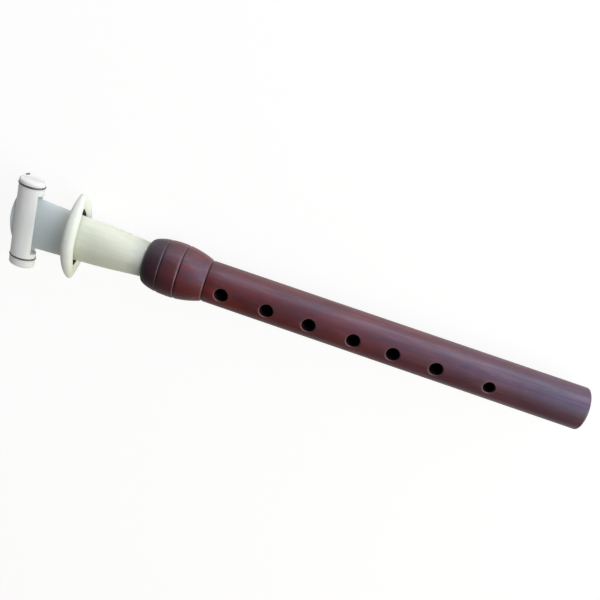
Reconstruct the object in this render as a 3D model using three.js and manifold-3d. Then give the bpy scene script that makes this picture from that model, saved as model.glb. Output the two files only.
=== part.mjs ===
// A duduk: a short turned wooden pipe with a swollen head, played through a wide double reed made
// from one tube of cane. The cane is squeezed flat at its mouth end and stays round at its socket end.
// A bridle with pointed ends slides along the flattening part to tune it, and a cap of two half bars, tied at
// both ends with wire, keeps the blades shut while the instrument is put away.
//
// Millimetres. While the pieces are drawn, x = 0 is the head face of the pipe, +X runs to the foot
// and +Z is the side of the finger holes. At the end the whole is moved, so that the origin is the
// middle of the bottom of its box as it lies with the finger holes up.
import * as THREE from "three";
import { mergeVertices } from "three/addons/utils/BufferGeometryUtils.js";
import Module from "manifold-3d";

const wasm = await Module();
wasm.setup();

// Fits that several pieces share
const fitGap = 0.3; // between a piece and what it sits in or on
const overrun = 2; // how far a cutter runs past what it cuts

// Pipe
const pipeLength = 280;
const pipeHeadRadius = 13.0; // the tube just below the bulb
const pipeFootRadius = 13.4;
const boreRadius = 5;
const footRounding = 1.2;
const boreChamfer = 0.5;

// Bulb: a short elliptic nose, then a long round shoulder that ends at the last groove
const bulbFaceRadius = 11.8;
const bulbRadius = 17.15;
const bulbNoseLength = 18;
const bulbLength = 38.9;
const grooveWidth = 1.5;
const grooveDepth = 0.5;
const firstGroove = 10.9; // from the head face
const secondGroove = 22.3;

// Finger holes, from the head face to each hole's centre, and the thumb hole behind
const fingerHolePlaces = [50.4, 79.0, 105.6, 133.8, 158.8, 186.0, 219.4];
const fingerHoleRadius = 4.25;
const lastHoleRadius = 3.6; // the hole nearest the foot is smaller
const thumbHolePlace = 65.2;
const thumbHoleRadius = 4.1;
const holeEasing = 0.3; // the softened edge where a hole meets the surface

// Reed: the cane outside the pipe, then its tenon inside the socket
const reedLength = 87.5; // from the head face to the middle of the tip
const reedBaseRadius = 10.8;
const reedTipHalfWidth = 16.8;
const reedTipHalfHeight = 1.5;
const reedBaseWall = 3.4;
const reedTipWall = 0.7;
const reedEdgeWall = 1.8; // across the folded edges of the blades
const reedTipBow = 32; // radius of the rounded tip, seen from above
const shoulderChamfer = 0.4;
const tenonRadius = 9.3;
const tenonLength = 22;

// Where the cane widens, flattens and comes to a sharp edge, as shares of its length from the base
const widenEndShare = 0.7;
const widenPowerShare = 1.5;
const flattenStartShare = 0.2;
const flattenEndShare = 1.06;
const bowStartShare = 0.72;
const roundSectionShare = 0.5; // a power of 0.5 draws an ellipse, and of 1 a lens with sharp edges
const lensSectionShare = 0.86;

// Thread wound on the tenon, and the socket that takes it
const threadThickness = 0.5;
const threadStart = 2; // from the head face
const threadLength = 17;
const socketDepth = 25;
const socketStepLength = 4; // the cone between the socket and the bore
const socketRadius = tenonRadius + fitGap + threadThickness + fitGap;

// Bridle: a ring of rounded section, drawn in to a blunt point at each side of the reed
const bridlePlace = 45.9; // from the head face to its middle
const bridleHalfWidth = 28.7;
const bridleHalfHeight = 16.4;
const bridleThickness = 7.6;
const bridleHoleHalfWidth = 19.2;
const bridleSideShift = 0.5; // how far it hangs towards the -Y side in its wider hole
const bridlePointPowerShare = 1.5; // a power of 1 draws an oval, and more draws it in to the points
const bridleEndThinningShare = 0.4; // how much of its thickness it loses at the points
const bridleThinningPowerShare = 5; // and how close to the points it loses it
const bridleCornerPowerShare = 0.88; // fills its round section out towards a square

// Cap: two half bars of one oval rod across the reed, with a slot between them for the blades
const capPlace = 77.3; // from the head face to the middle of the rod
const capLeftReach = 26.9; // from the reed's axis to the rod's end on the +Y side
const capRightReach = 31.9;
const capHalfWidth = 8;
const capHalfHeight = 5.6;
const capEndRounding = 1.5;
const capPartingGap = 0.3;
const capSlotHalfWidth = 21.8;

// Wire ties round the cap, each with its ends twisted together
const wireRadius = 0.5;
const wireLeftPlace = 23.5; // from the reed's axis to the tie on the +Y side
const wireRightPlace = 25.5;
const wireSink = 0.1; // the wire's centre below the rod's surface
const wireKnotAngle = THREE.MathUtils.degToRad(228);
const wireTwistLength = 4.8;
const wireTwistStart = 1; // where the twist begins, above the loop
const wireTwistTurns = 1;
const wireTwistLeanShare = 0.45; // how far it leans towards the rod's end as it leaves the rod
const wireStrandGap = 0.65; // between the two strands of the twist, across it

// How finely forms are divided, and how near two points count as one
const weldDistance = 1e-4;
const pipeSides = 48;
const noseSteps = 9;
const shoulderSteps = 6;
const footRoundingSteps = 3;
const holeSides = 24;
const reedSides = 40;
const reedStations = 16;
const bridleSides = 44;
const bridleSectionSides = 12;
const rodSides = 16;
const capEndSteps = 3;
const slotSteps = 8;
const wireSides = 8;
const wireLoopSides = 36;
const wireTwistSteps = 9;
const wirePathSteps = 63;
const twistCheckSteps = 60; // points compared on each strand

const lerp = THREE.MathUtils.lerp;
const smoothstep = THREE.MathUtils.smoothstep;

// Materials

function material(color, roughness, metalness = 0) {
  return new THREE.MeshStandardMaterial({ color, roughness, metalness });
}

const stainedWood = material(0x5b2a2e, 0.42);
const paleCane = material(0xd9dacb, 0.6);
const ivoryCane = material(0xebe9df, 0.45);
const capCane = material(0xe2e0da, 0.5);
const waxedThread = material(0xc9b48a, 0.8);
const greyWire = material(0x5e5f63, 0.45, 0.8);

// Solids

// A three.js geometry as a closed solid that can be joined and cut.
function solidOf(geometry) {
  const bare = new THREE.BufferGeometry();
  bare.setAttribute("position", geometry.getAttribute("position"));
  bare.setIndex(geometry.index);
  const merged = mergeVertices(bare, weldDistance);
  return new wasm.Manifold(
    new wasm.Mesh({
      numProp: 3,
      vertProperties: merged.getAttribute("position").array,
      triVerts: new Uint32Array(merged.index.array),
    }),
  );
}

// The solid as a geometry again, with flat faces.
function geometryOf(solid) {
  const mesh = solid.getMesh();
  const geometry = new THREE.BufferGeometry();
  geometry.setAttribute("position", new THREE.BufferAttribute(mesh.vertProperties, 3));
  geometry.setIndex(new THREE.BufferAttribute(mesh.triVerts, 1));
  const flat = geometry.toNonIndexed();
  flat.computeVertexNormals();
  return flat;
}

// Joins rings of points, each to the next and point to point. A closed loft also joins the last ring
// to the first, and an open one gets a flat fan at each end. Seen along the way that the rings go,
// each ring's points run anticlockwise.
function loft(rings, closed) {
  const sides = rings[0].length;
  const points = rings.flat();
  const faces = [];
  const bands = closed ? rings.length : rings.length - 1;
  for (let band = 0; band < bands; band++) {
    const here = band * sides;
    const next = ((band + 1) % rings.length) * sides;
    for (let side = 0; side < sides; side++) {
      const after = (side + 1) % sides;
      faces.push(here + side, next + side, next + after);
      faces.push(here + side, next + after, here + after);
    }
  }
  if (!closed) {
    const lastRing = (rings.length - 1) * sides;
    const firstMiddle = points.push(middleOf(rings[0])) - 1;
    const lastMiddle = points.push(middleOf(rings.at(-1))) - 1;
    for (let side = 0; side < sides; side++) {
      const after = (side + 1) % sides;
      faces.push(firstMiddle, side, after);
      faces.push(lastMiddle, lastRing + after, lastRing + side);
    }
  }
  const geometry = new THREE.BufferGeometry().setFromPoints(points);
  geometry.setIndex(faces);
  return geometry;
}

// A power of a value that keeps the value's sign.
function raised(value, power) {
  return Math.sign(value) * Math.pow(Math.abs(value), power);
}

function middleOf(ring) {
  const middle = new THREE.Vector3();
  ring.forEach((point) => middle.add(point));
  return middle.divideScalar(ring.length);
}

// Turns a profile of (x, radius) points round the X axis, with a flat facing down.
function turned(profile, sides) {
  const points = profile.map(([x, radius]) => new THREE.Vector2(radius, -x)).reverse();
  const geometry = new THREE.LatheGeometry(points, sides, Math.PI / sides);
  return geometry.rotateZ(Math.PI / 2);
}

// Pipe

// The outside radius of the pipe at a distance from its head face.
function pipeRadius(x) {
  if (x < bulbNoseLength) {
    const share = 1 - x / bulbNoseLength;
    return lerp(bulbFaceRadius, bulbRadius, Math.sqrt(1 - share * share));
  }
  if (x < bulbLength) {
    const run = bulbLength - bulbNoseLength;
    const fall = bulbRadius - pipeHeadRadius;
    const arcRadius = (run * run + fall * fall) / (2 * fall);
    const along = x - bulbNoseLength;
    return bulbRadius - arcRadius + Math.sqrt(arcRadius * arcRadius - along * along);
  }
  return lerp(pipeHeadRadius, pipeFootRadius, (x - bulbLength) / (pipeLength - bulbLength));
}

// A quarter round about the point (x, radius), from its top to its end that faces along +X.
function quarterRound(x, radius, rounding, steps) {
  return Array.from({ length: steps + 1 }, (_, step) => {
    const angle = (Math.PI / 2) * (step / steps);
    return [x + rounding * Math.sin(angle), radius + rounding * Math.cos(angle)];
  });
}

function pipeProfile() {
  const grooves = [firstGroove, secondGroove, bulbLength];
  const nose = Array.from({ length: noseSteps }, (_, step) => {
    return bulbNoseLength * (1 - Math.cos((Math.PI / 2) * (step / noseSteps)));
  });
  const shoulder = Array.from({ length: shoulderSteps }, (_, step) => {
    return lerp(bulbNoseLength, bulbLength, step / shoulderSteps);
  });
  const clear = [...nose, ...shoulder].filter((x) => {
    return grooves.every((groove) => Math.abs(x - groove) > grooveWidth / 2);
  });
  const swell = clear.map((x) => [x, pipeRadius(x)]);
  const cuts = grooves.flatMap((groove) => [
    [groove - grooveWidth / 2, pipeRadius(groove - grooveWidth / 2)],
    [groove, pipeRadius(groove) - grooveDepth],
    [groove + grooveWidth / 2, pipeRadius(groove + grooveWidth / 2)],
  ]);
  const outside = [...swell, ...cuts].sort((a, b) => a[0] - b[0]);
  const footCorner = [pipeLength - footRounding, pipeFootRadius - footRounding];
  const foot = quarterRound(...footCorner, footRounding, footRoundingSteps);
  const inside = [
    [pipeLength, boreRadius + boreChamfer],
    [pipeLength - boreChamfer, boreRadius],
    [socketDepth + socketStepLength, boreRadius],
    [socketDepth, socketRadius],
    [boreChamfer, socketRadius],
    [0, socketRadius + boreChamfer],
  ];
  return [...outside, ...foot, ...inside, outside[0]];
}

// A ring round a hole's axis that lies on the pipe's round surface, or a lift above it.
function surfaceRing(place, radius, lift) {
  const surface = pipeRadius(place) + lift;
  return Array.from({ length: holeSides }, (_, side) => {
    const angle = (side / holeSides) * Math.PI * 2;
    const y = radius * Math.sin(angle);
    return new THREE.Vector3(place + radius * Math.cos(angle), y, Math.sqrt(surface * surface - y * y));
  });
}

// A drill for one hole, from the bore outwards: straight, and eased evenly where it leaves the wood.
function holeDrill(place, radius) {
  const start = surfaceRing(place, radius, 0).map((point) => point.setZ(0));
  const rings = [
    start,
    surfaceRing(place, radius, -holeEasing),
    surfaceRing(place, radius + holeEasing, 0),
    surfaceRing(place, radius + holeEasing + overrun, overrun),
  ];
  return loft(rings.reverse(), false);
}

function makePipe() {
  let solid = solidOf(turned(pipeProfile(), pipeSides));
  fingerHolePlaces.forEach((place, index) => {
    const last = index === fingerHolePlaces.length - 1;
    const drill = holeDrill(place, last ? lastHoleRadius : fingerHoleRadius);
    solid = solid.subtract(solidOf(drill));
  });
  const thumbDrill = holeDrill(thumbHolePlace, thumbHoleRadius).rotateX(Math.PI);
  return geometryOf(solid.subtract(solidOf(thumbDrill)));
}

// Reed

// The cane's section at a share of the way from its base to its tip.
function reedSection(share) {
  const widen = 1 - Math.pow(Math.max(0, 1 - share / widenEndShare), widenPowerShare);
  const flatten = smoothstep(share, flattenStartShare, flattenEndShare);
  const height = lerp(reedBaseRadius, reedTipHalfHeight, flatten);
  return {
    halfWidth: lerp(reedBaseRadius, reedTipHalfWidth, widen),
    halfHeight: height,
    power: lerp(roundSectionShare, lensSectionShare, flatten),
    wall: lerp(reedBaseWall, reedTipWall, share),
    edgeWall: lerp(reedBaseWall, reedEdgeWall, share),
  };
}

// A ring between an ellipse and a lens, across the X axis at a distance before the head face.
function lensRing(before, halfWidth, halfHeight, power, bowShare = 0) {
  return Array.from({ length: reedSides }, (_, side) => {
    const angle = (side / reedSides) * Math.PI * 2;
    const y = halfWidth * Math.cos(angle);
    const rise = Math.sin(angle);
    const z = halfHeight * raised(rise, 2 * power);
    const bow = (bowShare * y * y) / (2 * reedTipBow);
    return new THREE.Vector3(-before + bow, y, z);
  });
}

function roundRing(x, radius) {
  return lensRing(-x, radius, radius, roundSectionShare);
}

function bladeRing(share, inside) {
  const section = reedSection(share);
  const halfWidth = section.halfWidth - (inside ? section.edgeWall : 0);
  const halfHeight = section.halfHeight - (inside ? section.wall : 0);
  const bowShare = smoothstep(share, bowStartShare, 1);
  return lensRing(share * reedLength, halfWidth, halfHeight, section.power, bowShare);
}

function makeReed() {
  const bladeStart = (fitGap + shoulderChamfer) / reedLength;
  const shares = Array.from({ length: reedStations + 1 }, (_, station) => {
    return lerp(bladeStart, 1, station / reedStations);
  });
  const caneBore = reedBaseRadius - reedBaseWall;
  const outside = [
    roundRing(tenonLength, tenonRadius - shoulderChamfer),
    roundRing(tenonLength - shoulderChamfer, tenonRadius),
    roundRing(-fitGap, tenonRadius),
    roundRing(-fitGap, reedBaseRadius - shoulderChamfer),
    ...shares.map((share) => bladeRing(share, false)),
  ];
  const blades = shares.map((share) => bladeRing(share, true)).reverse();
  const inside = [...blades, roundRing(tenonLength, caneBore)];
  return geometryOf(solidOf(loft([...outside, ...inside], true)));
}

// The thread on the tenon, as one close sleeve.
function makeThread() {
  const inner = tenonRadius + fitGap;
  const outer = inner + threadThickness;
  const end = threadStart + threadLength;
  const easing = threadThickness / 2;
  const profile = [
    [threadStart, inner],
    [threadStart, outer - easing],
    [threadStart + easing, outer],
    [end - easing, outer],
    [end, outer - easing],
    [end, inner],
    [threadStart, inner],
  ];
  return geometryOf(solidOf(turned(profile, pipeSides)));
}

// Bridle

// Its hole follows the cane under it, so that it slides freely only towards the tip.
function makeBridle() {
  const hold = reedSection(bridlePlace / reedLength);
  const rings = Array.from({ length: bridleSides }, (_, side) => {
    const angle = (side / bridleSides) * Math.PI * 2;
    const rise = Math.sin(angle);
    const lensRise = raised(rise, 2 * hold.power);
    const thinning = bridleEndThinningShare * Math.pow(Math.abs(Math.cos(angle)), bridleThinningPowerShare);
    const halfThickness = (bridleThickness / 2) * (1 - thinning);
    return Array.from({ length: bridleSectionSides }, (_, point) => {
      const turn = (-point / bridleSectionSides) * Math.PI * 2;
      const along = halfThickness * raised(Math.cos(turn), bridleCornerPowerShare);
      const outward = (1 + raised(Math.sin(turn), bridleCornerPowerShare)) / 2;
      const cane = reedSection((bridlePlace - along) / reedLength);
      const y = lerp(bridleHoleHalfWidth, bridleHalfWidth, outward) * Math.cos(angle) - bridleSideShift;
      const pointRise = raised(rise, bridlePointPowerShare);
      const z = lerp((cane.halfHeight + fitGap) * lensRise, bridleHalfHeight * pointRise, outward);
      return new THREE.Vector3(along - bridlePlace, y, z);
    });
  });
  return geometryOf(solidOf(loft(rings, true)));
}

// Cap

// The oval rod across the reed, before it is parted.
function capRod() {
  const outline = new THREE.Shape().absellipse(0, 0, capHalfWidth, capHalfHeight, 0, Math.PI * 2);
  const rod = new THREE.ExtrudeGeometry(outline, {
    depth: capLeftReach + capRightReach - 2 * capEndRounding,
    curveSegments: rodSides,
    bevelThickness: capEndRounding,
    bevelSize: capEndRounding,
    bevelOffset: -capEndRounding,
    bevelSegments: capEndSteps,
  });
  rod.translate(0, 0, capEndRounding - capLeftReach);
  return solidOf(rod.rotateX(Math.PI / 2).translate(-capPlace, 0, 0));
}

// The slot for the blades: as high as the cane in it, so it opens towards the foot.
function bladeSlot() {
  const start = capPlace - capHalfWidth - overrun;
  const end = capPlace + capHalfWidth + overrun;
  const roof = Array.from({ length: slotSteps + 1 }, (_, step) => {
    const before = lerp(start, end, step / slotSteps);
    const section = reedSection(Math.min(1, before / reedLength));
    return new THREE.Vector2(-before, section.halfHeight + fitGap);
  });
  const floor = roof.map((point) => new THREE.Vector2(point.x, -point.y)).reverse();
  const slot = new THREE.ExtrudeGeometry(new THREE.Shape([...roof, ...floor]), {
    depth: 2 * capSlotHalfWidth,
    bevelEnabled: false,
  });
  return solidOf(slot.translate(0, 0, -capSlotHalfWidth).rotateX(Math.PI / 2));
}

// A point of a wire's loop, which lies in its groove round the rod.
function loopPoint(angle, y) {
  const x = (capHalfWidth - wireSink) * Math.cos(angle);
  const z = (capHalfHeight - wireSink) * Math.sin(angle);
  return new THREE.Vector3(x - capPlace, y, z);
}

// The direction straight out of the rod at an angle of the loop.
function loopNormal(angle) {
  const x = Math.cos(angle) / (capHalfWidth - wireSink);
  const z = Math.sin(angle) / (capHalfHeight - wireSink);
  return new THREE.Vector3(x, 0, z).normalize();
}

// The groove that takes a wire.
function wireGroove(y) {
  const radius = wireRadius + fitGap;
  const across = new THREE.Vector3(0, 1, 0);
  const rings = Array.from({ length: wireLoopSides }, (_, step) => {
    const angle = (step / wireLoopSides) * Math.PI * 2;
    return Array.from({ length: wireSides }, (_, side) => {
      const turn = (-side / wireSides) * Math.PI * 2;
      const point = loopPoint(angle, y);
      point.addScaledVector(loopNormal(angle), radius * Math.cos(turn));
      return point.addScaledVector(across, radius * Math.sin(turn));
    });
  });
  return solidOf(loft(rings, true));
}

function makeCapHalf(upper) {
  const blockLength = 2 * Math.max(capLeftReach, capRightReach) + overrun;
  const blockHeight = capHalfHeight + overrun;
  const block = new THREE.BoxGeometry(2 * (capHalfWidth + overrun), blockLength, blockHeight);
  block.translate(-capPlace, 0, (upper ? 1 : -1) * (capPartingGap / 2 + blockHeight / 2));
  let solid = capRod().intersect(solidOf(block)).subtract(bladeSlot());
  [wireLeftPlace, -wireRightPlace].forEach((y) => {
    solid = solid.subtract(wireGroove(y));
  });
  return geometryOf(solid);
}

// One strand of a wire's twist, from the loop outwards.
function twistStrand(y, sign) {
  const normal = loopNormal(wireKnotAngle);
  const axis = normal.clone().setY(wireTwistLeanShare * Math.sign(y)).normalize();
  const along = new THREE.Vector3(-normal.z, 0, normal.x);
  const across = new THREE.Vector3().crossVectors(axis, along);
  const strandRadius = wireRadius + wireStrandGap / 2;
  return Array.from({ length: wireTwistSteps + 1 }, (_, step) => {
    const share = step / wireTwistSteps;
    const turn = share * wireTwistTurns * Math.PI * 2;
    const point = loopPoint(wireKnotAngle, y);
    point.addScaledVector(axis, lerp(wireTwistStart, wireTwistLength, share));
    point.addScaledVector(along, sign * strandRadius * Math.cos(turn));
    return point.addScaledVector(across, sign * strandRadius * Math.sin(turn));
  });
}

// A tie: one length of wire that comes down its twist, round the rod and up the twist again.
function makeWire(y) {
  const mouthAngle = (4 * wireRadius + wireStrandGap) / capHalfWidth;
  const loop = Array.from({ length: wireLoopSides + 1 }, (_, step) => {
    const turned = lerp(mouthAngle, Math.PI * 2 - mouthAngle, step / wireLoopSides);
    return loopPoint(wireKnotAngle - turned, y);
  });
  const path = new THREE.CatmullRomCurve3([...twistStrand(y, 1).reverse(), ...loop, ...twistStrand(y, -1)]);
  const section = new THREE.Shape().absarc(0, 0, wireRadius, 0, Math.PI * 2);
  const wire = new THREE.ExtrudeGeometry(section, {
    steps: wirePathSteps,
    curveSegments: wireSides / 2,
    extrudePath: path,
  });
  return geometryOf(solidOf(wire));
}

// The least gap between the two strands of a twist.
function leastTwistGap(y) {
  const strand = new THREE.CatmullRomCurve3(twistStrand(y, 1)).getSpacedPoints(twistCheckSteps);
  const other = new THREE.CatmullRomCurve3(twistStrand(y, -1)).getSpacedPoints(twistCheckSteps);
  const distances = strand.flatMap((point) => other.map((far) => point.distanceTo(far)));
  return Math.min(...distances) - 2 * wireRadius;
}

console.log("least gap between the strands of a wire's twist, mm:", leastTwistGap(wireLeftPlace).toFixed(2));

// Assembly

function named(name, geometry, finish) {
  const mesh = new THREE.Mesh(geometry, finish);
  mesh.name = name;
  return mesh;
}

const duduk = new THREE.Group();
const drawn = new THREE.Group();
const mouthEnd = new THREE.Group();
const cap = new THREE.Group();

cap.add(
  named("cap_half_upper", makeCapHalf(true), capCane),
  named("cap_half_lower", makeCapHalf(false), capCane),
  named("cap_wire_left", makeWire(wireLeftPlace), greyWire),
  named("cap_wire_right", makeWire(-wireRightPlace), greyWire),
);
mouthEnd.add(
  named("reed", makeReed(), paleCane),
  named("reed_thread", makeThread(), waxedThread),
  named("bridle", makeBridle(), ivoryCane),
  cap,
);
drawn.add(named("pipe", makePipe(), stainedWood), mouthEnd);

// The bulb's lowest facet lies on the ground, and the whole is as far out one way as the other.
const bulbFlatRadius = bulbRadius * Math.cos(Math.PI / pipeSides);
const bridleReach = bridleHalfWidth - bridleSideShift;
drawn.position.set((reedLength - pipeLength) / 2, (capRightReach - bridleReach) / 2, bulbFlatRadius);
duduk.add(drawn);

export default duduk;
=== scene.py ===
import math

import bmesh
import bpy
from mathutils import Matrix, Vector


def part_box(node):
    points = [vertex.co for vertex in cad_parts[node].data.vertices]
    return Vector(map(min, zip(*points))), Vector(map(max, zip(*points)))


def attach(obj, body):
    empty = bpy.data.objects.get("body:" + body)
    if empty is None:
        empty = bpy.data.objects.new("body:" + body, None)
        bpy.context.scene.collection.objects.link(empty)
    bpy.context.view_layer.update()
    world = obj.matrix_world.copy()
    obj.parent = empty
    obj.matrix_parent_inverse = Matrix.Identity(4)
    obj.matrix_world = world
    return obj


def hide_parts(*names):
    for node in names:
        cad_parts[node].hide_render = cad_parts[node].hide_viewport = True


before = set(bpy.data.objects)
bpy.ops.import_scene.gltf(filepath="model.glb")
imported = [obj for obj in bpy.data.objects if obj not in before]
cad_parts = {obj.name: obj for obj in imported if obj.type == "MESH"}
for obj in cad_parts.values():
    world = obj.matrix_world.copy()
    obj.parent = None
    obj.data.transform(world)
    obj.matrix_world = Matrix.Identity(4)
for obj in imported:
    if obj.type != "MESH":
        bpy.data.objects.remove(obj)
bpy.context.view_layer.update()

# Looks of a duduk. Shapes are drawn in millimetres as in the CAD source: x = 0 is the head face of
# the pipe, +X runs to the foot and +Z is the side of the finger holes.
MM = 0.001
OVERRUN = 2.0  # of a cutter past what it cuts
QUARTER_STEPS = 8  # of a rounded end

# Pipe
PIPE_LENGTH = 280.0
HEAD_RADIUS = 13.0
FOOT_RADIUS = 13.4
BORE_RADIUS = 5.0
FOOT_ROUNDING = 1.2
BORE_CHAMFER = 0.5
BULB_FACE_RADIUS = 11.8
BULB_RADIUS = 17.15
NOSE_LENGTH = 18.0
BULB_LENGTH = 38.9
GROOVE_WIDTH = 1.5
GROOVE_DEPTH = 0.5
GROOVE_POWER = 0.85
GROOVE_SOFTENING = (-0.2, 0.5)
GROOVE_CLEAR_SHARE = 0.6  # of a groove's width to each side, where only its own rings are drawn
GROOVES = (10.9, 22.3, BULB_LENGTH)
HOLES = (50.4, 79.0, 105.6, 133.8, 158.8, 186.0, 219.4)
HOLE_RADIUS = 4.25
LAST_HOLE_RADIUS = 3.6
THUMB_HOLE = 65.2
THUMB_HOLE_RADIUS = 4.1
HOLE_EASING = 0.8
HOLE_EASING_TURN = math.radians(84)
HOLE_EASING_STEPS = 6
HOLE_SIDES = 72
DRILL_START = 1.0  # from the pipe's axis
SOCKET_DEPTH = 25.0
SOCKET_STEP = 4.0
SOCKET_RADIUS = 10.4
PIPE_SIDES = 192
CAD_SIDES = 48
INSCRIBED = math.cos(math.pi / CAD_SIDES)  # keeps the round pipe inside the faceted one
INSIDE_DEPTH = 0.95  # under the surface, where the wood takes the look of the bore
END_FACE_DEPTH = 0.05

# The pipe's colours, by place along it or by distance: each span runs from where a colour is at
# one end of its change to where it is at the other
RED_END = 60.0  # from here to the foot the red turns violet, partly the wood's tone and partly a painted bluish reflection
FLAME_RISE = (60.0, 120.0)
FLAME_FALL = (200.0, 260.0)
PATINA_SPAN = (1.0, 24.0)
PATINA_RAGGED = 6.0  # how far the stains draw the patina's edge towards the head
HOLE_RIM_HIGHLIGHT = (4.5, 5.3)  # painted highlight round a finger hole's rim, from the hole's axis
GROOVE_LIP_HIGHLIGHT = -0.55  # where a groove's lip gets a painted highlight, from the groove's middle, as its foot is
GROOVE_LIP_HIGHLIGHT_SPAN = (0.1, 0.4)
# Where a groove's foot gets painted shade, on the wall away from the lamps
GROOVE_FOOT_SHADE = 0.25
GROOVE_FOOT_SHADE_SPAN = (0.2, 0.5)

# Reed
REED_LENGTH = 87.5
REED_BASE_RADIUS = 10.8
TIP_HALF_WIDTH = 17.6
TIP_HALF_HEIGHT = 1.5
BASE_WALL = 3.4
TIP_WALL = 0.7
EDGE_WALL = 1.8
TIP_BOW = 42.0
SHOULDER_CHAMFER = 0.4
TENON_RADIUS = 9.3
TENON_LENGTH = 22.0
FIT_GAP = 0.3
WIDEN_END = 1.0
WIDEN_POWER = 1.57
FLATTEN_START = 0.2
FLATTEN_END = 1.06
BOW_START = 0.72
ROUND_POWER = 0.5
LENS_POWER = 0.86
LEAN = 0.9  # how far the blades stand towards -Y
LEAN_START = 0.05
LEAN_END = 0.6
REED_RINGS = 72
REED_SIDES = 144
CANE_RAGGED = 3.0  # how uneven the edges of its zones of colour are

# Thread
THREAD_THICKNESS = 0.5
THREAD_START = 2.0
THREAD_LENGTH = 17.0
THREAD_TURN_STEPS = 56
THREAD_SIDES = 8

# Bridle
BRIDLE_PLACE = 45.9
BRIDLE_HALF_WIDTH = 29.2
BRIDLE_HALF_HEIGHT = 16.4
BRIDLE_THICKNESS = 7.6
BRIDLE_HOLE_HALF_WIDTH = 19.2
BRIDLE_SIDE_SHIFT = 1.0
BRIDLE_CORNER_POWER = 0.88
BRIDLE_POINT_POWER = 1.5  # 1 draws an oval, and more draws it in to pointed ends
BRIDLE_END_THINNING = 0.4
BRIDLE_THINNING_POWER = 5
BRIDLE_LIPWARD_TAPER = 0.7  # of the lower end, on the side towards the lips
BRIDLE_TAPER_POWER = 1.6
BRIDLE_SIDES = 176
BRIDLE_SECTION_SIDES = 48
BRIDLE_HOLE_SINE = -0.85  # of the turn round the section, under which a face is the hole's wall

# Cap
CAP_PLACE = 77.3
CAP_LEFT_REACH = 26.9
CAP_RIGHT_REACH = 31.9
CAP_HALF_WIDTH = 8.0
CAP_HALF_HEIGHT = 5.6
CAP_END_ROUNDING = 1.5
CAP_PARTING_GAP = 0.3
CAP_SLOT_LEFT = 18.4
CAP_SLOT_RIGHT = 21.8
CAP_SLOT_STEPS = 24
CAP_SIDES = 144
CAP_EDGE_EASING = 0.25
CAP_EDGE_STEPS = 3
CAP_EDGE_ANGLE = math.radians(40)
WIRE_RADIUS = 0.5
WIRE_PLACES = {"cap_wire_left": 23.5, "cap_wire_right": -25.5}
WIRE_SINK = 0.1
WIRE_KNOT_ANGLE = math.radians(232)
WIRE_TWIST_LENGTH = 4.5
WIRE_TWIST_START = 1.0
WIRE_TWIST_TURNS = 1.0
WIRE_TWIST_LEAN = 0.45
WIRE_TWIST_STEPS = 24
WIRE_STRAND_GAP = 0.65
WIRE_LOOP_STEPS = 90
WIRE_PATH_STEPS = 3
WIRE_SIDES = 16
WIRE_GROOVE_GAP_SHARE = 0.6  # of the fit gap
WIRE_GROOVE_STEPS = 96
LOOP_HALF_WIDTH = CAP_HALF_WIDTH - WIRE_SINK
LOOP_HALF_HEIGHT = CAP_HALF_HEIGHT - WIRE_SINK

# Stage
FLOOR_SIZE = 6.0  # metres from the middle to each side
FLOOR_COLOR = (0.88, 0.85, 0.77, 1)
FLOOR_GLOW = 1.06
FLOOR_WHITE_SHARE = 0.84  # what is left of the paper keeps the shadow
FLOOR_DIM_ACROSS = (-0.03, 0.02)  # where, along Y, what glossy things mirror grows from dim to white
FLOOR_DIM_SHARE = 0.1
ROOM_COLOR = (0.288, 0.283, 0.30, 1)
ROOM_MIRRORED_COLOR = (0.03, 0.03, 0.032, 1)
ROOM_SHOWN_COLOR = (0.97, 0.97, 0.97, 1)
BACKDROP_COLOR = (0.44, 0.45, 0.475, 1)
BACKDROP_SIDE = (0.35, 0.92, 0.0)
BACKDROP_NEARNESS = (-0.3, 0.9)
BACKDROP_HEIGHTS = (0.1, 0.5)
LAMP_DISTANCE = 1.3  # metres
# Each lamp's name, direction from the part, width and height in metres, power in watts and colour
LAMPS = (
    ("key", (0.50, 0.80, 0.27), (0.9, 0.9), 5.6, (0.82, 0.87, 1.0)),
    ("window", (0.10, 0.97, 0.12), (1.6, 0.4), 7.0, (0.96, 0.90, 1.0)),
    ("sky", (0.62, 0.38, 0.69), (0.7, 0.7), 5.9, (0.42, 0.58, 1.0)),
    ("side", (0.78, 0.05, 0.58), (0.8, 0.8), 6.7, (1.0, 0.95, 0.68)),
    ("fill", (0.95, -0.25, 0.20), (0.8, 0.8), 3.4, (1.0, 0.90, 0.64)),
)

# Camera: the angle, distance and lens found from the photograph
SENSOR_WIDTH = 36
FOCAL_PIXELS = 780
PICTURE_PIXELS = 600
CAMERA_TILT = math.radians(28.15)  # from straight above towards +Y
CAMERA_ROLL = math.radians(18.91)  # of the pipe in the picture
CAMERA_DISTANCE = 476.0
CAMERA_PLACE = 96.0  # along the pipe
CAMERA_SHIFT = 7.08  # across it

pipe_low, pipe_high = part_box("pipe")
ORIGIN = Vector((pipe_low.x, (pipe_low.y + pipe_high.y) / 2, (pipe_low.z + pipe_high.z) / 2))


def lerp(a, b, t):
    return a + (b - a) * t


def smoothstep(t, low, high):
    s = min(1.0, max(0.0, (t - low) / (high - low)))
    return s * s * (3 - 2 * s)


def signed_power(value, power):
    """The power of a value's size, with the value's sign."""
    return math.copysign(abs(value) ** power, value)


def arc(steps):
    """Angles evenly round a full turn."""
    return [2 * math.pi * i / steps for i in range(steps)]


def quarter_turn():
    """Angles from 0 to a right angle, both included."""
    return [math.pi / 2 * i / QUARTER_STEPS for i in range(QUARTER_STEPS + 1)]


def row(point):
    """A drawn point in millimetres as a point of the row frame in metres."""
    return ORIGIN + Vector(point) * MM


def row_x(x):
    return row((x, 0, 0)).x


# Meshes

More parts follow.
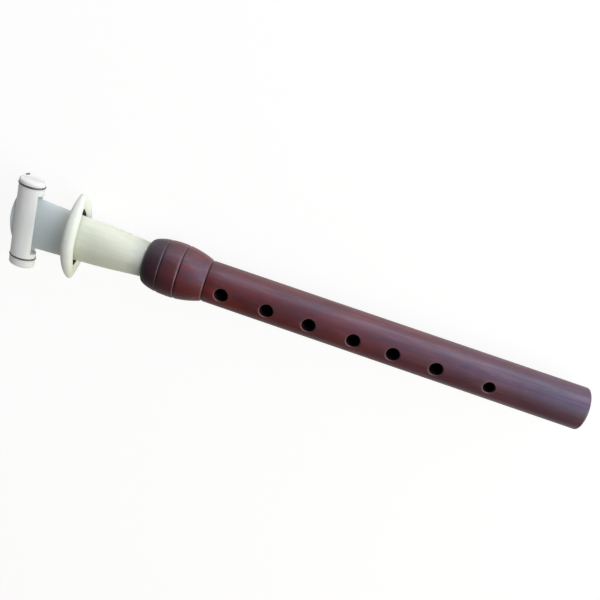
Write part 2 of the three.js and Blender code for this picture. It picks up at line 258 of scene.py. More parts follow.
def loft(rings, closed):
    """Vertices and faces of a skin through rings of points; an open one gets flat ends."""
    sides = len(rings[0])
    points = [p for ring in rings for p in ring]
    faces = []
    for band in range(len(rings) if closed else len(rings) - 1):
        here = band * sides
        there = (band + 1) % len(rings) * sides
        for side in range(sides):
            after = (side + 1) % sides
            faces.append((here + side, there + side, there + after, here + after))
    if not closed:
        faces.append(tuple(reversed(range(sides))))
        faces.append(tuple(range(len(points) - sides, len(points))))
    return points, faces


def mesh_of(name, points, faces):
    mesh = bpy.data.meshes.new(name)
    mesh.from_pydata([row(p) for p in points], [], faces)
    bm = bmesh.new()
    bm.from_mesh(mesh)
    bmesh.ops.recalc_face_normals(bm, faces=bm.faces)
    bm.to_mesh(mesh)
    bm.free()
    return mesh


def solid(name, rings, closed=False):
    obj = bpy.data.objects.new(name, mesh_of(name, *loft(rings, closed)))
    bpy.context.scene.collection.objects.link(obj)
    return obj


def cut(obj, cutters, operation="DIFFERENCE"):
    """Cuts obj with each cutter and removes the cutters."""
    for cutter in cutters:
        modifier = obj.modifiers.new("cut", "BOOLEAN")
        modifier.object = cutter
        modifier.operation = operation
        modifier.solver = "EXACT"
    bpy.context.view_layer.update()
    done = obj.evaluated_get(bpy.context.evaluated_depsgraph_get())
    mesh = bpy.data.meshes.new_from_object(done)
    obj.modifiers.clear()
    obj.data = mesh
    for cutter in cutters:
        bpy.data.objects.remove(cutter)
    return obj


def finish_piece(obj, node, body, materials, sharp=35):
    """Dresses a piece, shades it smooth up to an angle in degrees and puts it in its node's place."""
    for material in materials:
        obj.data.materials.append(material)
    obj.data.shade_smooth()
    obj.data.set_sharp_from_angle(angle=math.radians(sharp))
    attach(obj, body)
    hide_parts(node)


# Shader nodes, of a material or of the world

def new_material(name, **inputs):
    """A material whose shader inputs are given by name, as in sheen_weight for Sheen Weight."""
    material = bpy.data.materials.new(name)
    material.use_nodes = True
    shader = material.node_tree.nodes["Principled BSDF"]
    for key, value in inputs.items():
        shader.inputs[key.replace("_", " ").title().replace("Ior", "IOR")].default_value = value
    return material


def add(material, kind, inputs=(), **settings):
    """A node of a kind, with settings, and with a value or another node's socket on each input."""
    tree = material.node_tree
    node = tree.nodes.new(kind)
    for key, value in settings.items():
        setattr(node, key, value)
    for key, value in dict(inputs).items():
        socket = node.inputs[key]
        if isinstance(value, bpy.types.NodeSocket):
            tree.links.new(value, socket)
        else:
            socket.default_value = value
    return node


def shader_input(material, name, socket):
    shader = material.node_tree.nodes["Principled BSDF"]
    material.node_tree.links.new(socket, shader.inputs[name])


def place(material, scale):
    """The piece's own coordinates in metres times a scale on each axis."""
    coordinates = add(material, "ShaderNodeTexCoord").outputs["Object"]
    return add(material, "ShaderNodeMapping", {"Vector": coordinates, "Scale": scale}).outputs[0]


def noise(material, scale, detail=3.0, roughness=0.5, distortion=0.0):
    inputs = {
        "Vector": place(material, scale),
        "Scale": 1.0,
        "Detail": detail,
        "Roughness": roughness,
        "Distortion": distortion,
    }
    return add(material, "ShaderNodeTexNoise", inputs).outputs["Fac"]


def spread(material, value, low, high, to_low=0.0, to_high=1.0):
    """Spreads value from low..high to to_low..to_high, smoothly and clamped."""
    inputs = {"Value": value, "From Min": low, "From Max": high, "To Min": to_low, "To Max": to_high}
    return add(material, "ShaderNodeMapRange", inputs, interpolation_type="SMOOTHSTEP").outputs[0]


def blend(material, factor, a, b):
    """Colour a, turned to colour b by a factor."""
    return add(material, "ShaderNodeMix", {0: factor, 6: a, 7: b}, data_type="RGBA").outputs[2]


def calc(material, operation, a, b=0.0):
    return add(material, "ShaderNodeMath", {0: a, 1: b}, operation=operation).outputs[0]


def bump(material, height, strength, distance, normal=None):
    inputs = {"Height": height, "Strength": strength, "Distance": distance}
    if normal is not None:
        inputs["Normal"] = normal
    return add(material, "ShaderNodeBump", inputs).outputs[0]


def axis(material, vector, name):
    return add(material, "ShaderNodeSeparateXYZ", {0: vector}).outputs[name]


def ragged(material, along, pattern, reach):
    """A coordinate moved by a pattern, up to a reach in millimetres, for edges that aren't straight."""
    inputs = {0: pattern, 1: reach * MM, 2: along}
    return add(material, "ShaderNodeMath", inputs, operation="MULTIPLY_ADD").outputs[0]


def distance_band(material, value, at, span, share):
    """A share near a value, which fades out over a span of distances in millimetres."""
    off = calc(material, "ABSOLUTE", calc(material, "SUBTRACT", value, at))
    return spread(material, off, span[0] * MM, span[1] * MM, share, 0)


def srgb(r, g, b):
    """A colour written as it looks, as the linear colour that shaders take."""
    def line(c):
        c /= 255
        return c / 12.92 if c <= 0.04045 else ((c + 0.055) / 1.055) ** 2.4
    return (line(r), line(g), line(b), 1.0)


# Materials

def nearest_hole(m, position):
    """The distance in metres from a point to the nearest finger hole's axis, seen from above."""
    flat = add(m, "ShaderNodeVectorMath", {0: position, 1: (1, 1, 0)}, operation="MULTIPLY").outputs[0]
    least = None
    for at in HOLES:
        centre = row((at, 0, 0))
        inputs = {0: flat, 1: (centre.x, centre.y, 0)}
        away = add(m, "ShaderNodeVectorMath", inputs, operation="DISTANCE").outputs["Value"]
        least = away if least is None else calc(m, "MINIMUM", least, away)
    return least


def stained_wood():
    """Dark red-brown turned wood with satin lacquer: streaks along the pipe, stains and pores."""
    m = new_material("stained_wood", specular_ior_level=1.0, specular_tint=(0.52, 0.79, 1.0, 1.0),
                     sheen_weight=0.1, sheen_roughness=0.3)
    mottle = spread(m, noise(m, (16, 70, 70), 3, 0.55, 0.4), 0.35, 0.66)
    stain = spread(m, noise(m, (34, 60, 60), 4, 0.6, 0.8), 0.5, 0.7)
    streak = spread(m, noise(m, (22, 420, 420), 4, 0.6), 0.3, 0.72)
    fibre = noise(m, (90, 2600, 2600), 3, 0.6)
    pore = spread(m, noise(m, (420, 3800, 3800), 2, 0.5), 0.3, 0.42, 1, 0)
    position = place(m, (1, 1, 1))
    along = axis(m, position, "X")

    # The ground: red near the head, violet near the foot (partly a painted bluish reflection), with
    # orange flames in the middle
    footward = spread(m, along, row_x(RED_END), row_x(PIPE_LENGTH))
    dark = blend(m, footward, srgb(94, 22, 11), srgb(86, 47, 60))
    light = blend(m, footward, srgb(123, 36, 19), srgb(109, 61, 78))
    ground = blend(m, mottle, dark, light)
    middle = calc(m, "MULTIPLY", spread(m, along, *map(row_x, FLAME_RISE)),
                  spread(m, along, *map(row_x, FLAME_FALL), 1, 0))
    flame = spread(m, noise(m, (24, 50, 50), 3, 0.6, 0.6), 0.4, 0.62, 0.1, 0.6)
    ground = blend(m, calc(m, "MULTIPLY", middle, flame), ground, srgb(126, 54, 34))

    # The grain
    stained = blend(m, calc(m, "MULTIPLY", stain, 0.5), ground, srgb(66, 22, 20))
    striped = blend(m, spread(m, streak, 0, 1, 0, 0.6), stained, srgb(82, 25, 20))
    fine = blend(m, spread(m, fibre, 0.3, 0.7, 0, 0.35), striped, srgb(61, 21, 18))
    pored = blend(m, calc(m, "MULTIPLY", pore, 0.5), fine, srgb(37, 13, 11))

    # Painted highlight on the rims of the holes and on the grooves' lips, painted shade in the grooves'
    # feet, and the head is dark from handling
    rim = spread(m, nearest_hole(m, position), HOLE_RIM_HIGHLIGHT[0] * MM, HOLE_RIM_HIGHLIGHT[1] * MM, 0.3, 0)
    painted_edge_light_and_shade = blend(m, rim, pored, srgb(112, 84, 82))
    for groove in GROOVES:
        lip_highlight = distance_band(m, along, row_x(groove + GROOVE_LIP_HIGHLIGHT), GROOVE_LIP_HIGHLIGHT_SPAN, 0.24)
        painted_edge_light_and_shade = blend(m, lip_highlight, painted_edge_light_and_shade, srgb(156, 116, 108))
        foot_shade = distance_band(m, along, row_x(groove + GROOVE_FOOT_SHADE), GROOVE_FOOT_SHADE_SPAN, 0.9)
        painted_edge_light_and_shade = blend(m, foot_shade, painted_edge_light_and_shade, srgb(24, 12, 12))
    uneven = ragged(m, along, stain, PATINA_RAGGED)
    patina = spread(m, uneven, *map(row_x, PATINA_SPAN), 1, 0)
    shader_input(m, "Base Color", blend(m, patina, painted_edge_light_and_shade, srgb(52, 16, 11)))

    polish = spread(m, streak, 0, 1, 0.46, 0.56)
    shader_input(m, "Roughness", calc(m, "ADD", polish, calc(m, "MULTIPLY", patina, 0.1)))
    scraped = bump(m, noise(m, (40, 150, 150), 2, 0.5), 0.2, 0.0006)
    shader_input(m, "Normal", bump(m, calc(m, "SUBTRACT", fibre, pore), 0.12, 0.0002, scraped))
    return m


def cane(name, pale, deep, fibre_scale, roughness, zones=()):
    """Smooth cane: a pale ground with long faint fibres, soft clouding and a waxy surface.

    A zone is the drawn x where its colour begins, the x where it is full, its share there and the
    colour.
    """
    m = new_material(name, specular_ior_level=0.45)
    cloud = spread(m, noise(m, tuple(0.06 * s + 30 for s in fibre_scale), 3, 0.5), 0.3, 0.7)
    fibre = noise(m, fibre_scale, 4, 0.65)
    fine = noise(m, tuple(3.2 * s for s in fibre_scale), 2, 0.5)
    ground = blend(m, spread(m, cloud, 0, 1, 0, 0.35), pale, deep)
    lined = blend(m, spread(m, fibre, 0.35, 0.75, 0, 0.4), ground, deep)
    color = blend(m, spread(m, fine, 0.5, 0.8, 0, 0.25), lined, deep)
    if zones:
        uneven = ragged(m, axis(m, place(m, (1, 1, 1)), "X"), cloud, CANE_RAGGED)
    for begin, full, strength, tint in zones:
        low, high = sorted((row_x(begin), row_x(full)))
        ends = (0, strength) if full > begin else (strength, 0)
        color = blend(m, spread(m, uneven, low, high, *ends), color, tint)
    shader_input(m, "Base Color", color)
    shader_input(m, "Roughness", spread(m, fibre, 0.2, 0.8, roughness - 0.06, roughness + 0.08))
    shader_input(m, "Normal", bump(m, fibre, 0.15, 0.0002))
    return m


def speckled(name, scale, detail, dark, light, color_span, roughness, relief, **inputs):
    """A material with its colour, roughness and relief (strength and distance) all from one noise."""
    m = new_material(name, **inputs)
    grain = noise(m, scale, detail, 0.6)
    shader_input(m, "Base Color", blend(m, spread(m, grain, *color_span), dark, light))
    shader_input(m, "Roughness", spread(m, grain, 0.2, 0.8, *roughness))
    shader_input(m, "Normal", bump(m, grain, *relief))
    return m


def bore_wood():
    """The same wood inside the bore and the holes, much darker than outside."""
    return speckled("bore_wood", (30, 700, 700), 3, srgb(22, 12, 10), srgb(36, 19, 16),
                    (0.3, 0.7), (0.6, 0.8), (0.2, 0.0002), specular_ior_level=0.3)


def painted_shade_hole_wall():
    """The wall of the bridle's hole, painted dark as shade in the gap between the ring and the reed."""
    return speckled("painted_shade_hole_wall", (500, 500, 500), 4, srgb(38, 30, 25), srgb(84, 70, 56),
                    (0.35, 0.7), (0.7, 0.9), (0.25, 0.0002), specular_ior_level=0.25)


def waxed_thread():
    return speckled("waxed_thread", (2600, 900, 900), 3, srgb(176, 152, 104), srgb(214, 196, 152),
                    (0.3, 0.7), (0.6, 0.8), (0.3, 0.0002), specular_ior_level=0.4)


def grey_wire():
    return speckled("grey_wire", (900, 900, 900), 4, srgb(104, 105, 106), srgb(142, 142, 140),
                    (0.35, 0.65), (0.32, 0.55), (0.15, 0.0001), metallic=0.85)


# Pipe

def pipe_radius(x):
    if x < NOSE_LENGTH:
        share = 1 - x / NOSE_LENGTH
        return lerp(BULB_FACE_RADIUS, BULB_RADIUS, math.sqrt(1 - share * share))
    if x < BULB_LENGTH:
        run = BULB_LENGTH - NOSE_LENGTH
        fall = BULB_RADIUS - HEAD_RADIUS
        radius = (run * run + fall * fall) / (2 * fall)
        along = x - NOSE_LENGTH
        return BULB_RADIUS - radius + math.sqrt(radius * radius - along * along)
    return lerp(HEAD_RADIUS, FOOT_RADIUS, (x - BULB_LENGTH) / (PIPE_LENGTH - BULB_LENGTH))


def groove_fall(x):
    """How deep the turned grooves are at x: each a rounded V with softened lips."""
    depth = 0.0
    for groove in GROOVES:
        off = abs(x - groove) / (GROOVE_WIDTH / 2)
        if off < 1:
            depth = GROOVE_DEPTH * (1 - off) ** GROOVE_POWER * smoothstep(1 - off, *GROOVE_SOFTENING)
    return depth


def pipe_profile():
    """The places and radii of the pipe's outline: outside, round the foot, and back up the bore."""
    nose_steps, shoulder_steps, body_steps, groove_steps = 26, 18, 34, 12
    places = [NOSE_LENGTH * (1 - math.cos(math.pi / 2 * i / nose_steps)) for i in range(nose_steps)]
    places += [lerp(NOSE_LENGTH, BULB_LENGTH, i / shoulder_steps) for i in range(shoulder_steps)]
    body_end = PIPE_LENGTH - FOOT_ROUNDING
    places += [lerp(BULB_LENGTH, body_end, i / body_steps) for i in range(body_steps)]
    clear = GROOVE_WIDTH * GROOVE_CLEAR_SHARE
    places = [x for x in places if all(abs(x - g) > clear for g in GROOVES)]
    for groove in GROOVES:
        for i in range(groove_steps + 1):
            places.append(groove + GROOVE_WIDTH / 2 * (2 * i / groove_steps - 1))
    outside = [(x, pipe_radius(x) - groove_fall(x)) for x in sorted(places)]
    for angle in quarter_turn():
        outside.append((body_end + FOOT_ROUNDING * math.sin(angle),
                        FOOT_RADIUS - FOOT_ROUNDING + FOOT_ROUNDING * math.cos(angle)))
    inside = [
        (PIPE_LENGTH, BORE_RADIUS + BORE_CHAMFER),
        (PIPE_LENGTH - BORE_CHAMFER, BORE_RADIUS),
        (SOCKET_DEPTH + SOCKET_STEP, BORE_RADIUS),
        (SOCKET_DEPTH, SOCKET_RADIUS),
        (BORE_CHAMFER, SOCKET_RADIUS),
        (0.0, SOCKET_RADIUS + BORE_CHAMFER),
    ]
    return [(x, r * INSCRIBED) for x, r in outside] + inside


def pipe_ring(x, radius):
    return [(x, radius * math.cos(a), radius * math.sin(a)) for a in arc(PIPE_SIDES)]


def surface_ring(at, radius, lift, side):
    """A ring round a hole's axis on the pipe's surface, or a lift above it; side is 1 or -1."""
    surface = pipe_radius(at) * INSCRIBED + lift
    ring = []
    for angle in arc(HOLE_SIDES):
        x = at + radius * math.cos(angle)
        y = radius * math.sin(angle)
        ring.append((x, y * side, side * math.sqrt(surface * surface - y * y)))
    return ring


def hole_drill(at, radius, side):
    """A drill from inside the bore whose wall is straight, then rounds over to leave the wood."""
    rings = [[(x, y, side * DRILL_START) for x, y, _ in surface_ring(at, radius, 0, side)]]
    for i in range(HOLE_EASING_STEPS + 1):
        angle = HOLE_EASING_TURN * i / HOLE_EASING_STEPS
        easing = HOLE_EASING * (1 - math.cos(angle))
        rings.append(surface_ring(at, radius + easing, HOLE_EASING * (math.sin(angle) - 1), side))
    top = pipe_radius(at) + OVERRUN
    rings.append([(x, y, side * top) for x, y, _ in surface_ring(at, radius + HOLE_EASING, 0, side)])
    return solid("drill", rings)


def make_pipe(wood, inside):
    pipe = solid("pipe_body_wood", [pipe_ring(x, r) for x, r in pipe_profile()], closed=True)
    drills = [hole_drill(at, HOLE_RADIUS, 1) for at in HOLES[:-1]]
    drills.append(hole_drill(HOLES[-1], LAST_HOLE_RADIUS, 1))
    drills.append(hole_drill(THUMB_HOLE, THUMB_HOLE_RADIUS, -1))
    cut(pipe, drills)
    finish_piece(pipe, "pipe", "pipe_body", [wood, inside], sharp=32)
    for polygon in pipe.data.polygons:
        drawn = (polygon.center - ORIGIN) / MM
        depth = pipe_radius(min(max(drawn.x, 0), PIPE_LENGTH)) - math.hypot(drawn.y, drawn.z)
        end_face = drawn.x < END_FACE_DEPTH or drawn.x > PIPE_LENGTH - END_FACE_DEPTH
        polygon.material_index = 1 if depth > INSIDE_DEPTH and not end_face else 0


# Reed

def reed_section(share):
    """The reed's sizes at a share of its length from the shoulder to the tip."""
    widen = 1 - max(0.0, 1 - share / WIDEN_END) ** WIDEN_POWER
    flatten = smoothstep(share, FLATTEN_START, FLATTEN_END)
    return {
        "half_width": lerp(REED_BASE_RADIUS, TIP_HALF_WIDTH, widen),
        "half_height": lerp(REED_BASE_RADIUS, TIP_HALF_HEIGHT, flatten),
        "power": lerp(ROUND_POWER, LENS_POWER, flatten),
        "wall": lerp(BASE_WALL, TIP_WALL, share),
        "edge_wall": lerp(BASE_WALL, EDGE_WALL, share),
    }


def lens_ring(before, half_width, half_height, power=ROUND_POWER, bow_share=0.0):
    """A ring of the reed at a distance before the head face; its power draws it in to edges."""
    lean = LEAN * smoothstep(before / REED_LENGTH, LEAN_START, LEAN_END)
    ring = []
    for angle in arc(REED_SIDES):
        y = half_width * math.cos(angle)
        z = half_height * signed_power(math.sin(angle), 2 * power)
        ring.append((-before + bow_share * y * y / (2 * TIP_BOW), y - lean, z))
    return ring


def blade_ring(share, inside):
    section = reed_section(share)
    half_width = section["half_width"] - (section["edge_wall"] if inside else 0)
    half_height = section["half_height"] - (section["wall"] if inside else 0)
    bow = smoothstep(share, BOW_START, 1)
    return lens_ring(share * REED_LENGTH, half_width, half_height, section["power"], bow)


def make_reed(material):
    first = (FIT_GAP + SHOULDER_CHAMFER) / REED_LENGTH
    shares = [lerp(first, 1, i / REED_RINGS) for i in range(REED_RINGS + 1)]
    rings = []
    for before, radius in (
        (-TENON_LENGTH, TENON_RADIUS - SHOULDER_CHAMFER),
        (SHOULDER_CHAMFER - TENON_LENGTH, TENON_RADIUS),
        (FIT_GAP, TENON_RADIUS),
        (FIT_GAP, REED_BASE_RADIUS - SHOULDER_CHAMFER),
    ):
        rings.append(lens_ring(before, radius, radius))
    rings += [blade_ring(s, False) for s in shares]
    rings += [blade_ring(s, True) for s in reversed(shares)]
    bore = REED_BASE_RADIUS - BASE_WALL
    rings.append(lens_ring(-TENON_LENGTH, bore, bore))
    reed = solid("reed_cane", rings, closed=True)
    finish_piece(reed, "reed", "reed_body", [material], sharp=40)


# Round wire and thread

def sweep(name, path, radius, sides):
    """A tube of round section along a path, with its frame carried along without twist."""
    points = [Vector(p) for p in path]
    tangents = []
    for i in range(len(points)):
        tangents.append((points[min(i + 1, len(points) - 1)] - points[max(i - 1, 0)]).normalized())
    normal = tangents[0].orthogonal().normalized()
    rings = []
    for point, tangent in zip(points, tangents):
        normal = (normal - tangent * normal.dot(tangent)).normalized()
        across = tangent.cross(normal)
        ring = [point + radius * (math.cos(a) * normal + math.sin(a) * across) for a in arc(sides)]
        rings.append([tuple(p) for p in ring])
    return solid(name, rings)


def smooth_path(points, steps):
    """A Catmull-Rom curve through points, with the same count of steps between each two."""
    points = [Vector(p) for p in points]
    ends = [2 * points[0] - points[1], *points, 2 * points[-1] - points[-2]]
    path = []
    for i in range(1, len(ends) - 2):
        a, b, c, d = ends[i - 1:i + 3]
        for step in range(steps):
            t = step / steps
            path.append(0.5 * (2 * b + (c - a) * t + (2 * a - 5 * b + 4 * c - d) * t * t
                               + (3 * b - a - 3 * c + d) * t * t * t))
    path.append(points[-1])
    return path


def make_thread(material):
    """One thread wound close on the tenon, from end to end."""
    radius = THREAD_THICKNESS / 2
    centre = TENON_RADIUS + FIT_GAP + radius
    turns = int(THREAD_LENGTH / THREAD_THICKNESS) - 1
    run = turns * THREAD_THICKNESS
    steps = turns * THREAD_TURN_STEPS
    path = []
    for i in range(steps + 1):
        angle = 2 * math.pi * turns * i / steps
        x = THREAD_START + radius + run * i / steps
        path.append((x, centre * math.cos(angle), centre * math.sin(angle)))
    thread = sweep("tenon_thread", path, radius, THREAD_SIDES)
    finish_piece(thread, "reed_thread", "reed_body", [material])


# Bridle

def bridle_section(angle, hole_power):
    """The ring's section at an angle round the reed's axis, thinner at its two ends."""
    rise = math.sin(angle)
    lens_rise = signed_power(rise, 2 * hole_power)
    point_rise = signed_power(rise, BRIDLE_POINT_POWER)
    thinning = BRIDLE_END_THINNING * abs(math.cos(angle)) ** BRIDLE_THINNING_POWER
    half_thickness = BRIDLE_THICKNESS / 2 * (1 - thinning)
    taper = BRIDLE_LIPWARD_TAPER * max(0.0, -math.cos(angle)) ** BRIDLE_TAPER_POWER
    section = []
    for turn in arc(BRIDLE_SECTION_SIDES):
        lipward = math.cos(turn) < 0
        along = half_thickness * signed_power(math.cos(turn), BRIDLE_CORNER_POWER)
        along *= 1 - taper if lipward else 1
        outward = (1 + signed_power(math.sin(turn), BRIDLE_CORNER_POWER)) / 2
        cane_height = reed_section((BRIDLE_PLACE - along) / REED_LENGTH)["half_height"]
        reach = lerp(BRIDLE_HOLE_HALF_WIDTH, BRIDLE_HALF_WIDTH, outward)
        z = lerp((cane_height + FIT_GAP) * lens_rise, BRIDLE_HALF_HEIGHT * point_rise, outward)
        section.append((along - BRIDLE_PLACE, reach * math.cos(angle) - BRIDLE_SIDE_SHIFT, z))
    return section


def make_bridle(cane_material, hole_material):
    hole_power = reed_section(BRIDLE_PLACE / REED_LENGTH)["power"]
    sections = [bridle_section(angle, hole_power) for angle in arc(BRIDLE_SIDES)]
    bridle = solid("bridle_ring", sections, closed=True)
    materials = [cane_material, hole_material]
    finish_piece(bridle, "bridle", "bridle_body", materials, sharp=60)
    # The hole's wall takes the second material, painted dark as shade between the ring and the reed
    turns = arc(BRIDLE_SECTION_SIDES)
    for polygon in bridle.data.polygons:
        turn = turns[polygon.index % len(turns)] + math.pi / len(turns)
        polygon.material_index = 1 if math.sin(turn) < BRIDLE_HOLE_SINE else 0


# Cap

def rod_ring(y, inset):
    width, height = CAP_HALF_WIDTH - inset, CAP_HALF_HEIGHT - inset
    return [(width * math.cos(a) - CAP_PLACE, y, height * math.sin(a)) for a in arc(CAP_SIDES)]


def cap_rod():
    rings = []
    for reach, sign in ((-CAP_RIGHT_REACH, 1), (CAP_LEFT_REACH, -1)):
        end = []
        for angle in quarter_turn():
            inset = CAP_END_ROUNDING * (1 - math.sin(angle))
            end.append(rod_ring(reach + sign * CAP_END_ROUNDING * (1 - math.cos(angle)), inset))
        rings += end if sign > 0 else end[::-1]
    return solid("cap_rod", rings)


def blade_slot():
    """A cutter for the room of the reed's blades, which follows their slope."""
    start = CAP_PLACE - CAP_HALF_WIDTH - OVERRUN
    end = CAP_PLACE + CAP_HALF_WIDTH + OVERRUN
    roof = []
    for i in range(CAP_SLOT_STEPS + 1):
        before = lerp(start, end, i / CAP_SLOT_STEPS)
        roof.append((-before, reed_section(min(1, before / REED_LENGTH))["half_height"] + FIT_GAP))
    outline = roof + [(x, -z) for x, z in reversed(roof)]
    rings = [[(x, y, z) for x, z in outline] for y in (-CAP_SLOT_RIGHT, CAP_SLOT_LEFT)]
    return solid("blade_slot", rings)


def loop_point(angle, y):
    """A point on the middle of a wire's loop round the cap."""
    x = LOOP_HALF_WIDTH * math.cos(angle) - CAP_PLACE
    return Vector((x, y, LOOP_HALF_HEIGHT * math.sin(angle)))


def loop_normal(angle):
    normal = Vector((math.cos(angle) / LOOP_HALF_WIDTH, 0, math.sin(angle) / LOOP_HALF_HEIGHT))
    return normal.normalized()


def wire_groove(y):
    """A cutter for the shallow seat of a wire."""
    radius = WIRE_RADIUS + FIT_GAP * WIRE_GROOVE_GAP_SHARE
    rings = []
    for angle in arc(WIRE_GROOVE_STEPS):
        centre, normal = loop_point(angle, y), loop_normal(angle)
        ring = []
        for turn in arc(WIRE_SIDES):
            ring.append(centre + radius * (math.cos(turn) * normal + Vector((0, math.sin(turn), 0))))
        rings.append([tuple(p) for p in ring])
    return solid("wire_groove", rings, closed=True)


def make_cap_half(upper, material):
    sign = 1 if upper else -1
    reach, width = CAP_RIGHT_REACH + OVERRUN, CAP_HALF_WIDTH + OVERRUN
    heights = (sign * CAP_PARTING_GAP / 2, sign * (CAP_HALF_HEIGHT + OVERRUN))
    corners = [(-width, -reach), (width, -reach), (width, reach), (-width, reach)]
    block = solid("block", [[(x - CAP_PLACE, y, z) for x, y in corners] for z in heights])
    half = cut(cap_rod(), [block], "INTERSECT")
    cut(half, [blade_slot(), *(wire_groove(y) for y in WIRE_PLACES.values())])
    node = "cap_half_upper" if upper else "cap_half_lower"
    half.name = "cap_bar_upper" if upper else "cap_bar_lower"
    bevel = half.modifiers.new("ease", "BEVEL")
    bevel.width = CAP_EDGE_EASING * MM
    bevel.segments = CAP_EDGE_STEPS
    bevel.limit_method = "ANGLE"
    bevel.angle_limit = CAP_EDGE_ANGLE
    bevel.use_clamp_overlap = True
    finish_piece(half, node, "cap_body", [material], sharp=40)


def twist_strand(y, sign):
    """One of the two strands that a wire's ends are twisted into, from the cap outward."""
    normal = loop_normal(WIRE_KNOT_ANGLE)
    axis_line = (normal + Vector((0, math.copysign(WIRE_TWIST_LEAN, y), 0))).normalized()
    along = Vector((-normal.z, 0, normal.x))
    across = axis_line.cross(along)
    radius = WIRE_RADIUS + WIRE_STRAND_GAP / 2
    strand = []
    for step in range(WIRE_TWIST_STEPS + 1):
        share = step / WIRE_TWIST_STEPS
        turn = share * WIRE_TWIST_TURNS * 2 * math.pi
        out = lerp(WIRE_TWIST_START, WIRE_TWIST_LENGTH, share)
        centre = loop_point(WIRE_KNOT_ANGLE, y) + axis_line * out
        strand.append(centre + sign * radius * (math.cos(turn) * along + math.sin(turn) * across))
    return strand


def make_wire(node, y, material):
    """A wire once round the cap, with its two ends twisted."""
    mouth = (4 * WIRE_RADIUS + WIRE_STRAND_GAP) / CAP_HALF_WIDTH
    loop = []
    for step in range(WIRE_LOOP_STEPS + 1):
        turn = lerp(mouth, 2 * math.pi - mouth, step / WIRE_LOOP_STEPS)
        loop.append(loop_point(WIRE_KNOT_ANGLE - turn, y))
    path = smooth_path([*twist_strand(y, 1)[::-1], *loop, *twist_strand(y, -1)], WIRE_PATH_STEPS)
    wire = sweep(node + "_tie", path, WIRE_RADIUS, WIRE_SIDES)
    finish_piece(wire, node, "cap_body", [material], sharp=60)


# Stage

def make_floor():
    """Pale paper that shows as white; off glossy things its side away from the lamps shows darker."""
    mesh = bpy.data.meshes.new("floor")
    corners = [(x * FLOOR_SIZE, y * FLOOR_SIZE, 0) for x, y in ((-1, -1), (1, -1), (1, 1), (-1, 1))]
    mesh.from_pydata(corners, [], [(0, 1, 2, 3)])
    floor = bpy.data.objects.new("floor", mesh)
    bpy.context.scene.collection.objects.link(floor)
    m = bpy.data.materials.new("pale_floor")
    m.use_nodes = True
    m.node_tree.nodes.clear()
    rays = add(m, "ShaderNodeLightPath").outputs
    across = axis(m, place(m, (1, 1, 1)), "Y")
    mirrored = calc(m, "MAXIMUM", rays["Is Glossy Ray"], rays["Is Transmission Ray"])
    dimmed = calc(m, "MULTIPLY", mirrored, spread(m, across, *FLOOR_DIM_ACROSS, FLOOR_DIM_SHARE, 1))
    shown = calc(m, "MAXIMUM", rays["Is Camera Ray"], dimmed)
    paper = add(m, "ShaderNodeBsdfDiffuse", {"Color": FLOOR_COLOR}).outputs[0]
    glow = add(m, "ShaderNodeEmission", {"Strength": FLOOR_GLOW}).outputs[0]
    inputs = {0: calc(m, "MULTIPLY", shown, FLOOR_WHITE_SHARE), 1: paper, 2: glow}
    mixed = add(m, "ShaderNodeMixShader", inputs).outputs[0]
    add(m, "ShaderNodeOutputMaterial", {"Surface": mixed})
    mesh.materials.append(m)


def make_world():
    """A pale backdrop low down on the key light's side, a dim white elsewhere; it shows as white."""
    world = bpy.data.worlds.new("studio")
    bpy.context.scene.world = world
    world.use_nodes = True
    rays = add(world, "ShaderNodeLightPath").outputs
    mirrored = calc(world, "MAXIMUM", rays["Is Glossy Ray"], rays["Is Transmission Ray"])
    room = blend(world, mirrored, ROOM_COLOR, ROOM_MIRRORED_COLOR)
    coordinates = add(world, "ShaderNodeTexCoord").outputs["Generated"]
    inputs = {0: coordinates, 1: BACKDROP_SIDE}
    backdrop = add(world, "ShaderNodeVectorMath", inputs, operation="DOT_PRODUCT")
    near = spread(world, backdrop.outputs["Value"], *BACKDROP_NEARNESS)
    low = spread(world, axis(world, coordinates, "Z"), *BACKDROP_HEIGHTS, 1, 0)
    lit = blend(world, calc(world, "MULTIPLY", near, low), room, BACKDROP_COLOR)
    color = blend(world, rays["Is Camera Ray"], lit, ROOM_SHOWN_COLOR)
    world.node_tree.links.new(color, world.node_tree.nodes["Background"].inputs["Color"])


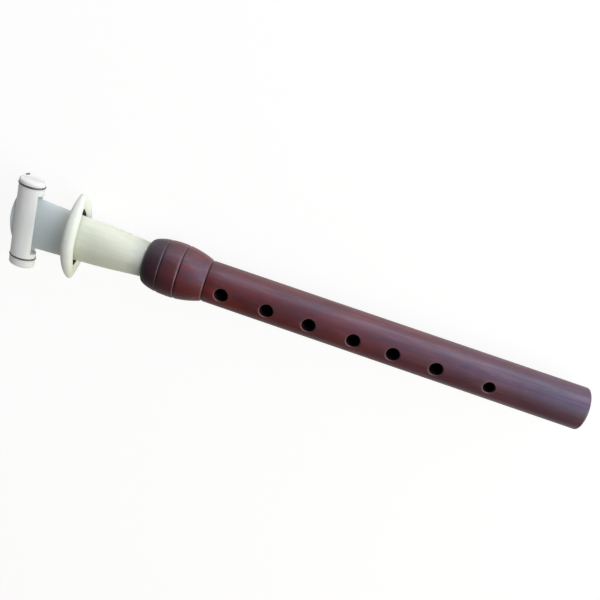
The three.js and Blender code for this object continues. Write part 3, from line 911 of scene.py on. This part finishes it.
def area_light(name, direction, size, power, color):
    """A soft lamp in a direction from the middle of the part, which it shines at."""
    light = bpy.data.lights.new(name, "AREA")
    light.shape = "ELLIPSE"
    light.size, light.size_y = size
    light.energy = power
    light.color = color
    lamp = bpy.data.objects.new(name, light)
    bpy.context.scene.collection.objects.link(lamp)
    toward = Vector(direction).normalized()
    lamp.location = toward * LAMP_DISTANCE
    lamp.rotation_euler = toward.to_track_quat("Z", "Y").to_euler()


def make_camera():
    camera_data = bpy.data.cameras.new("camera")
    camera_data.sensor_width = SENSOR_WIDTH
    camera_data.lens = SENSOR_WIDTH * FOCAL_PIXELS / PICTURE_PIXELS
    camera = bpy.data.objects.new("camera", camera_data)
    bpy.context.scene.collection.objects.link(camera)
    back = Vector((0, math.sin(CAMERA_TILT), math.cos(CAMERA_TILT)))
    down = Vector((0, -math.cos(CAMERA_TILT), math.sin(CAMERA_TILT)))
    right = Vector((math.cos(CAMERA_ROLL), 0, 0)) - math.sin(CAMERA_ROLL) * down
    up = Vector((-math.sin(CAMERA_ROLL), 0, 0)) - math.cos(CAMERA_ROLL) * down
    aim = ORIGIN + Vector((CAMERA_PLACE, 0, 0)) * MM
    stand = Matrix.Translation(aim + (CAMERA_DISTANCE * back - CAMERA_SHIFT * down) * MM)
    camera.matrix_world = stand @ Matrix((right, up, back)).transposed().to_4x4()
    bpy.context.scene.camera = camera


make_pipe(stained_wood(), bore_wood())
tip_zone = (-34, -56, 0.8, srgb(216, 227, 221))
# The reed darkens towards the pipe's head: painted shade where it goes into the pipe, together with
# grime from handling
base_shade_and_grime_zone = (-9, -1, 0.55, srgb(176, 179, 166))
reed_zones = (tip_zone, base_shade_and_grime_zone)
make_reed(cane("pale_cane", srgb(232, 235, 213), srgb(208, 209, 178), (26, 900, 900), 0.5, reed_zones))
make_thread(waxed_thread())
ring_cane = cane("ivory_cane", srgb(231, 234, 220), srgb(214, 214, 192), (260, 120, 260), 0.5)
make_bridle(ring_cane, painted_shade_hole_wall())
cap_material = cane("cap_cane", srgb(244, 243, 234), srgb(228, 227, 213), (700, 40, 700), 0.5)
make_cap_half(True, cap_material)
make_cap_half(False, cap_material)
wire_material = grey_wire()
for wire_node, wire_y in WIRE_PLACES.items():
    make_wire(wire_node, wire_y, wire_material)

make_floor()
make_world()
for lamp_values in LAMPS:
    area_light(*lamp_values)
make_camera()

bpy.context.scene.view_settings.view_transform = "Standard"
